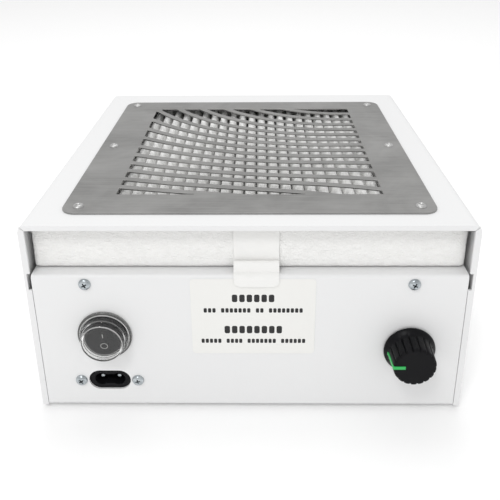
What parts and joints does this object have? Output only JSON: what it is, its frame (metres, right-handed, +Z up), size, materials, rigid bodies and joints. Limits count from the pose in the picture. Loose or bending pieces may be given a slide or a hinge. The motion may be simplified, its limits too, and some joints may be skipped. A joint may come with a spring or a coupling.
{
  "type": "nail dust collector",
  "caption": "Square white metal nail dust collector with a wavy-slotted steel suction grille, pull-out pleated filter, fan, rocker switch and speed knob.",
  "frame": {"origin": "middle of the whole object's footprint, on the surface that the feet stand on", "axes": "+Z up; -Y towards the user, out of the control panel; +X to the right of a person facing the panel"},
  "size_m": [0.218, 0.235, 0.11],
  "materials": {
    "white_paint": "fine satin powder coat",
    "stainless": "matt stainless sheet",
    "aluminium": "satin",
    "zinc": "bright zinc plated",
    "brass": "plain",
    "filter_felt": "fibrous white felt",
    "pleat_paper": "pleated filter paper",
    "black_plastic": "fine moulded grain",
    "knob_plastic": "soft satin",
    "green_plastic": "moulded insert",
    "clear_plastic": "clear soft vinyl",
    "rubber": "matt",
    "foam": "closed-cell foam strip",
    "label_film": "satin printed film",
    "board": "solder mask"
  },
  "bodies": {
    "case": {"top_cover": "white_paint", "chassis": "white_paint", "filter_shelf": "white_paint", "grille_plate": "stainless", "grille_rivet_1": "aluminium", "grille_rivet_2": "aluminium", "grille_rivet_3": "aluminium", "grille_rivet_4": "aluminium", "grille_rivet_5": "aluminium", "grille_rivet_6": "aluminium", "pot_body": "aluminium", "board_heatsink": "aluminium", "cover_screw_1": "zinc", "cover_screw_2": "zinc", "cover_screw_3": "zinc", "cover_screw_4": "zinc", "panel_screw_1": "zinc", "panel_screw_2": "zinc", "rear_screw_1": "zinc", "rear_screw_2": "zinc", "inlet_screw_1": "zinc", "inlet_screw_2": "zinc", "inlet_nut_1": "zinc", "inlet_nut_2": "zinc", "pot_nut": "zinc", "fan_screw_1": "zinc", "fan_screw_2": "zinc", "fan_screw_3": "zinc", "fan_screw_4": "zinc", "switch_terminal_1": "brass", "switch_terminal_2": "brass", "inlet_pin_1": "brass", "inlet_pin_2": "brass", "board_standoff_1": "brass", "board_standoff_2": "brass", "board_standoff_3": "brass", "board_standoff_4": "brass", "switch_housing": "black_plastic", "inlet_body": "black_plastic", "fan_housing": "black_plastic", "lead_inlet": "black_plastic", "lead_switch": "black_plastic", "lead_fan": "black_plastic", "switch_boot": "clear_plastic", "foot_1": "rubber", "foot_2": "rubber", "foot_3": "rubber", "foot_4": "rubber", "shelf_gasket": "foam", "label": "label_film", "control_board": "board"},
    "filter": {"filter_frame": "filter_felt", "filter_pleats": "pleat_paper", "filter_tab": "filter_felt"},
    "rocker": {"switch_rocker": "black_plastic"},
    "knob": {"knob": "knob_plastic", "knob_pointer": "green_plastic", "pot_shaft": "aluminium"},
    "rotor": {"fan_rotor": "black_plastic"}
  },
  "joints": [
    {"name": "filter_slide", "type": "slide", "parent": "case", "child": "filter", "axis": [0, -1, 0], "range_m": [0, 0.2]},
    {"name": "switch_rock", "type": "hinge", "parent": "case", "child": "rocker", "pos_m": [-0.0724, -0.10372, 0.04685], "axis": [-1, 0, 0], "range_deg": [0, 20]},
    {"name": "knob_turn", "type": "hinge", "parent": "case", "child": "knob", "pos_m": [0.08, -0.11023, 0.0389], "axis": [0, 1, 0], "range_deg": [-60, 240]},
    {"name": "fan_spin", "type": "hinge", "parent": "case", "child": "rotor", "pos_m": [0, 0.00208, 0.0625], "axis": [0, 0, 1], "continuous": true}
  ]
}
